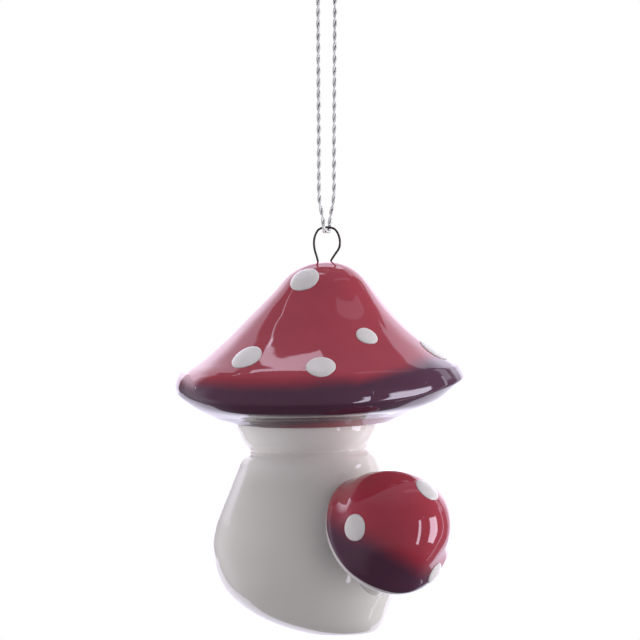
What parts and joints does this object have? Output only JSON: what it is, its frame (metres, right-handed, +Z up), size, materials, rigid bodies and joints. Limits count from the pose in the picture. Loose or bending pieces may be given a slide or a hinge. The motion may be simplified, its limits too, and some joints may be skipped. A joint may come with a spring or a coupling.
{
  "type": "hanging ornament",
  "caption": "Glazed ceramic ornament in the shape of a spotted mushroom with a small one at its side, hung by a wire eye from a loop of metallic cord.",
  "frame": {"origin": "inside top of the cord's loop, where a hook carries the ornament", "axes": "+Z up along the cord, +X to the viewer's right, +Y away from the viewer"},
  "size_m": [0.0616, 0.0624, 0.1758],
  "materials": {
    "red_glaze": "deep red gloss glaze",
    "white_glaze": "warm white gloss glaze",
    "dot_enamel": "raised satin white enamel",
    "eye_wire": "fine wire darkened in the kiln",
    "metallic_cord": "twisted silver metallic cord"
  },
  "bodies": {
    "cord_loop": {"cord_knot": "metallic_cord", "cord_tails": "metallic_cord", "cord_left_strand": "metallic_cord", "cord_right_strand": "metallic_cord"},
    "cord_bight": {"cord_bight": "metallic_cord"},
    "ornament": {"cap_shell": "red_glaze", "wire_eye": "eye_wire", "stem_shell": "white_glaze", "bud_cap": "red_glaze", "bud_stem": "white_glaze", "cap_dot_upper_left": "dot_enamel", "cap_dot_right": "dot_enamel", "cap_dot_left": "dot_enamel", "cap_dot_front": "dot_enamel", "cap_dot_far_right": "dot_enamel", "cap_dot_back_right": "dot_enamel", "cap_dot_back_upper": "dot_enamel", "cap_dot_back": "dot_enamel", "cap_dot_back_left": "dot_enamel", "cap_dot_far_left": "dot_enamel", "bud_dot_left": "dot_enamel", "bud_dot_upper_right": "dot_enamel", "bud_dot_lower_right": "dot_enamel", "bud_dot_back": "dot_enamel"}
  },
  "joints": [
    {"name": "cord_twist", "type": "hinge", "parent": "cord_loop", "child": "cord_bight", "pos_m": [0, 0, -0.065], "axis": [0, 0, 1], "range_deg": [-170, 170]},
    {"name": "eye_nod", "type": "hinge", "parent": "cord_bight", "child": "ornament", "pos_m": [0, 0, -0.075], "axis": [1, 0, 0], "range_deg": [-90, 90]}
  ]
}
